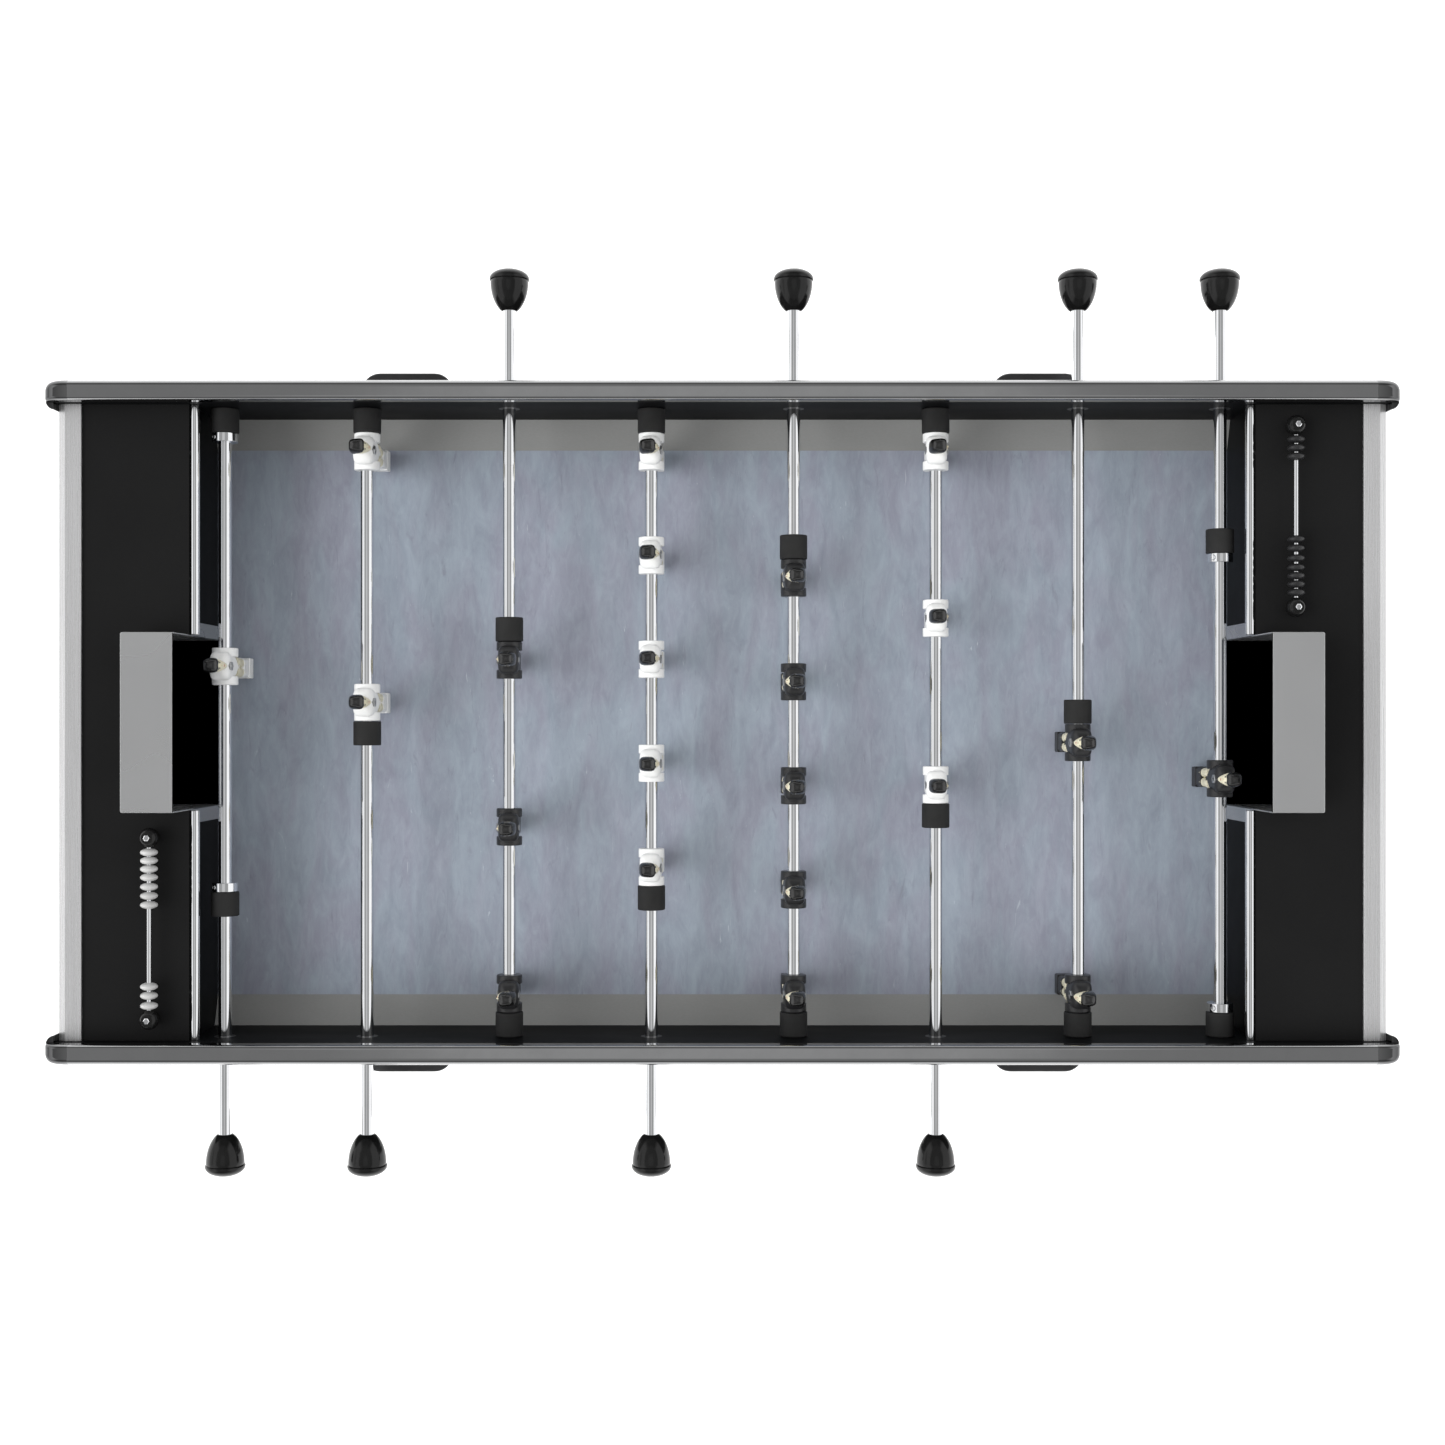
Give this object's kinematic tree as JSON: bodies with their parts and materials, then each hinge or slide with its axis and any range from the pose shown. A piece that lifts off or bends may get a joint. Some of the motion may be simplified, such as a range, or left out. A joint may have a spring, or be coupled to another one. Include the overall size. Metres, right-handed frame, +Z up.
{
  "type": "foosball table",
  "caption": "Free-standing foosball table: black cabinet on bolted legs, telescopic rods with players, two goals and bead counters.",
  "frame": {"origin": "on the floor under the middle of the table", "axes": "+X along the field from the white goal to the black goal, +Y across it, +Z up"},
  "size_m": [1.4912, 1.0212, 0.937],
  "materials": {
    "black_panel": "black laminate, low sheen",
    "black_deck": "black laminate, fine grain",
    "marbled_field": "marbled blue-grey sheet flooring",
    "grey_strip": "satin grey",
    "polished_rail": "polished",
    "satin_profile": "satin, brushed along its length",
    "chrome": "mirror",
    "satin_steel": "satin",
    "chute_plastic": "matte black",
    "leg_plastic": "moulded black, fine texture",
    "zinc": "bright zinc plated",
    "bush_plastic": "black nylon",
    "inner_steel": "ground steel",
    "gloss_black": "gloss black",
    "rubber": "matte black rubber",
    "white_plastic": "white moulded plastic",
    "black_plastic": "black moulded plastic"
  },
  "bodies": {
    "table": {"side_panel_front": "black_panel", "side_panel_back": "black_panel", "end_boards": "black_panel", "goal_walls": "black_panel", "decks": "black_deck", "playfield": "marbled_field", "side_ramps": "grey_strip", "base_board": "black_panel", "top_rails": "polished_rail", "rail_end_caps": "polished_rail", "end_profiles": "satin_profile", "wall_bars": "chrome", "goal_hoods": "satin_steel", "ball_chutes": "chute_plastic", "legs": "leg_plastic", "levelling_feet": "zinc", "leg_bolts": "zinc", "rod_bushes": "bush_plastic", "inner_rods": "inner_steel", "score_posts": "gloss_black", "score_rods": "chrome", "score_screws": "zinc"},
    "rod_slide_1": {"bumpers_1": "rubber"},
    "rod_1": {"tube_1": "chrome", "players_1": "white_plastic", "handle_1": "gloss_black", "collars_1": "chrome"},
    "rod_slide_2": {"bumpers_2": "rubber"},
    "rod_2": {"tube_2": "chrome", "players_2": "white_plastic", "handle_2": "gloss_black"},
    "rod_slide_3": {"bumpers_3": "rubber"},
    "rod_3": {"tube_3": "chrome", "players_3": "black_plastic", "handle_3": "gloss_black"},
    "rod_slide_4": {"bumpers_4": "rubber"},
    "rod_4": {"tube_4": "chrome", "players_4": "white_plastic", "handle_4": "gloss_black"},
    "rod_slide_5": {"bumpers_5": "rubber"},
    "rod_5": {"tube_5": "chrome", "players_5": "black_plastic", "handle_5": "gloss_black"},
    "rod_slide_6": {"bumpers_6": "rubber"},
    "rod_6": {"tube_6": "chrome", "players_6": "white_plastic", "handle_6": "gloss_black"},
    "rod_slide_7": {"bumpers_7": "rubber"},
    "rod_7": {"tube_7": "chrome", "players_7": "black_plastic", "handle_7": "gloss_black"},
    "rod_slide_8": {"bumpers_8": "rubber"},
    "rod_8": {"tube_8": "chrome", "players_8": "black_plastic", "handle_8": "gloss_black", "collars_8": "chrome"},
    "white_beads_won": {"white_beads_won": "white_plastic"},
    "white_beads_left": {"white_beads_left": "white_plastic"},
    "black_beads_won": {"black_beads_won": "gloss_black"},
    "black_beads_left": {"black_beads_left": "gloss_black"}
  },
  "joints": [
    {"name": "push_pull_1", "type": "slide", "parent": "table", "child": "rod_slide_1", "axis": [0, -1, 0], "range_m": [0, 0.1352]},
    {"name": "spin_1", "type": "hinge", "parent": "rod_slide_1", "child": "rod_1", "pos_m": [-0.56, 0, 0.843], "axis": [0, 1, 0], "continuous": true},
    {"name": "push_pull_2", "type": "slide", "parent": "table", "child": "rod_slide_2", "axis": [0, -1, 0], "range_m": [0, 0.3271]},
    {"name": "spin_2", "type": "hinge", "parent": "rod_slide_2", "child": "rod_2", "pos_m": [-0.4, 0, 0.843], "axis": [0, 1, 0], "continuous": true},
    {"name": "push_pull_3", "type": "slide", "parent": "table", "child": "rod_slide_3", "axis": [0, 1, 0], "range_m": [0, 0.2345]},
    {"name": "spin_3", "type": "hinge", "parent": "rod_slide_3", "child": "rod_3", "pos_m": [-0.24, 0, 0.843], "axis": [0, 1, 0], "continuous": true},
    {"name": "push_pull_4", "type": "slide", "parent": "table", "child": "rod_slide_4", "axis": [0, -1, 0], "range_m": [0, 0.1421]},
    {"name": "spin_4", "type": "hinge", "parent": "rod_slide_4", "child": "rod_4", "pos_m": [-0.08, 0, 0.843], "axis": [0, 1, 0], "continuous": true},
    {"name": "push_pull_5", "type": "slide", "parent": "table", "child": "rod_slide_5", "axis": [0, 1, 0], "range_m": [0, 0.1421]},
    {"name": "spin_5", "type": "hinge", "parent": "rod_slide_5", "child": "rod_5", "pos_m": [0.08, 0, 0.843], "axis": [0, 1, 0], "continuous": true},
    {"name": "push_pull_6", "type": "slide", "parent": "table", "child": "rod_slide_6", "axis": [0, -1, 0], "range_m": [0, 0.2345]},
    {"name": "spin_6", "type": "hinge", "parent": "rod_slide_6", "child": "rod_6", "pos_m": [0.24, 0, 0.843], "axis": [0, 1, 0], "continuous": true},
    {"name": "push_pull_7", "type": "slide", "parent": "table", "child": "rod_slide_7", "axis": [0, 1, 0], "range_m": [0, 0.3271]},
    {"name": "spin_7", "type": "hinge", "parent": "rod_slide_7", "child": "rod_7", "pos_m": [0.4, 0, 0.843], "axis": [0, 1, 0], "continuous": true},
    {"name": "push_pull_8", "type": "slide", "parent": "table", "child": "rod_slide_8", "axis": [0, 1, 0], "range_m": [0, 0.1352]},
    {"name": "spin_8", "type": "hinge", "parent": "rod_slide_8", "child": "rod_8", "pos_m": [0.56, 0, 0.843], "axis": [0, 1, 0], "continuous": true},
    {"name": "slide_white_beads_won", "type": "slide", "parent": "table", "child": "white_beads_won", "axis": [0, -1, 0], "range_m": [0, 0.04]},
    {"name": "slide_white_beads_left", "type": "slide", "parent": "table", "child": "white_beads_left", "axis": [0, -1, 0], "range_m": [-0.04, 0]},
    {"name": "slide_black_beads_won", "type": "slide", "parent": "table", "child": "black_beads_won", "axis": [0, 1, 0], "range_m": [0, 0.041]},
    {"name": "slide_black_beads_left", "type": "slide", "parent": "table", "child": "black_beads_left", "axis": [0, 1, 0], "range_m": [-0.041, 0]}
  ]
}
